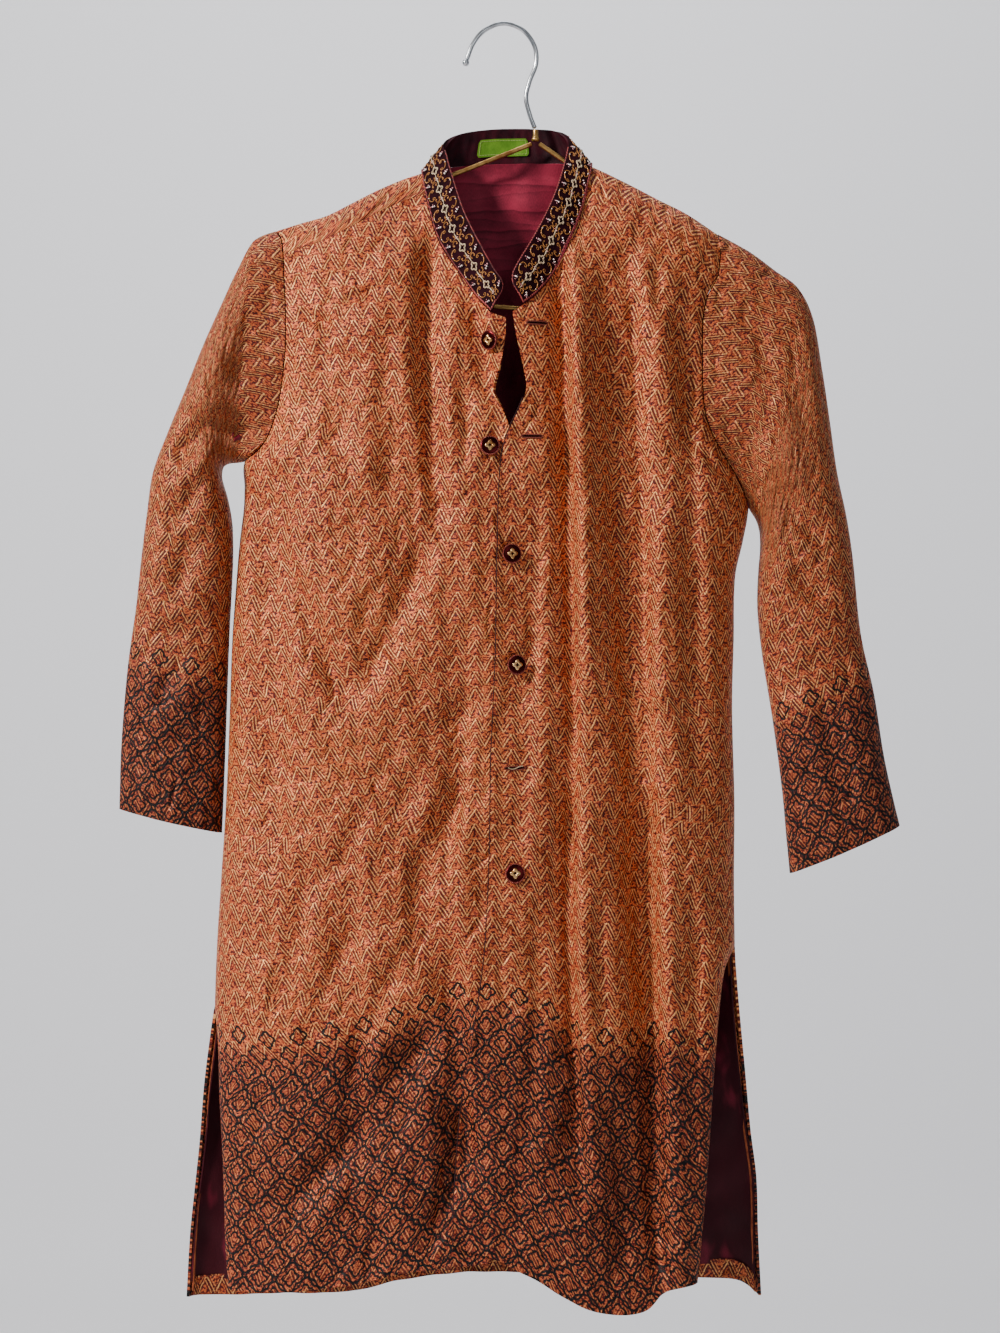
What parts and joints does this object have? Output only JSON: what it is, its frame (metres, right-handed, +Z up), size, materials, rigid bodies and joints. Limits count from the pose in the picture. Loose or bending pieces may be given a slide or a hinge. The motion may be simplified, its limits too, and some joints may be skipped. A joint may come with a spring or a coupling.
{
  "type": "kurta on a wire hanger",
  "caption": "Child's knee-length brocade kurta with long sleeves, an embroidered stand collar, a partly open button front and side slits, hanging on a wire hanger.",
  "frame": {"origin": "inside top of the hanger's hook, where a nail or rail holds it", "axes": "+Z up along the hanging garment, the front faces -Y, +X is the viewer's right"},
  "size_m": [0.5073, 0.0643, 0.8311],
  "materials": {
    "brocade_front_under": "rust and gold woven brocade, matt with a faint metallic glint",
    "brocade_front_over": "rust and gold woven brocade, matt with a faint metallic glint",
    "brocade_back": "rust and gold woven brocade, matt with a faint metallic glint",
    "lining": "maroon satin",
    "hem_strip": "brocade turned to the inside",
    "brocade_sleeve_right": "rust and gold woven brocade, matt with a faint metallic glint",
    "brocade_sleeve_left": "rust and gold woven brocade, matt with a faint metallic glint",
    "collar": "dark cloth under dense embroidery",
    "collar_facing": "maroon satin",
    "label": "plain woven label, green, bare",
    "button_1": "dark red rim round a gold centre",
    "button_2": "dark red rim round a gold centre",
    "button_3": "dark red rim round a gold centre",
    "button_4": "dark red rim round a gold centre",
    "button_6": "dark red rim round a gold centre",
    "hook_steel": "bright bent wire",
    "tip_steel": "bright ball",
    "ferrule": "bright",
    "frame_wire": "bright bent wire"
  },
  "bodies": {
    "root": {"front_under": "brocade_front_under", "front_over": "brocade_front_over", "back": "brocade_back", "lining_back": "lining", "hem_facing": "hem_strip", "sleeve_right": "brocade_sleeve_right", "sleeve_left": "brocade_sleeve_left", "collar": "collar", "collar_facing": "collar_facing", "label": "label", "button_1": "button_1", "button_2": "button_2", "button_3": "button_3", "button_4": "button_4", "button_6": "button_6", "hanger_hook": "hook_steel", "hanger_tip": "tip_steel", "hanger_ferrule": "ferrule", "hanger_frame": "frame_wire"}
  },
  "joints": []
}
